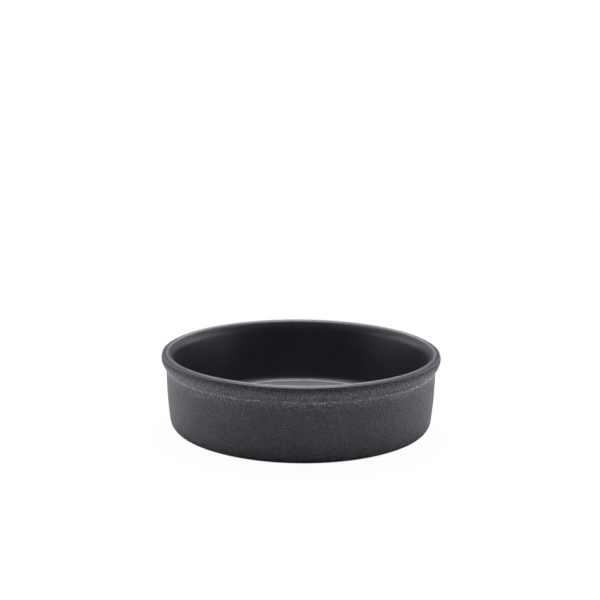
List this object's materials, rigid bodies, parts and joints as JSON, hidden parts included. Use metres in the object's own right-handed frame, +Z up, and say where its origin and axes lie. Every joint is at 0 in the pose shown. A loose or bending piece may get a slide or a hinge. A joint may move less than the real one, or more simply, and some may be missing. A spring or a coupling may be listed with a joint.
{
  "type": "tapas dish",
  "caption": "Round stoneware tapas dish with a slightly bowed near-upright wall, a rolled rim and a foot ring, satin glazed inside and granular matte outside, for serving or baking small portions.",
  "frame": {"origin": "centre of the foot ring on the surface that the dish stands on", "axes": "+Z up along the dish's axis of turning; the dish is round, so X and Y are alike"},
  "size_m": [0.145, 0.145, 0.0406],
  "materials": {
    "bare_stoneware": "bare fired clay, matte",
    "satin_glaze": "smooth satin, near-black",
    "granular_glaze": "granular matte charcoal",
    "underside_glaze": "smooth satin, near-black"
  },
  "bodies": {
    "root": {"stoneware_body": "bare_stoneware", "inside_glaze": "satin_glaze", "outside_glaze": "granular_glaze", "underside_glaze": "underside_glaze"}
  },
  "joints": []
}
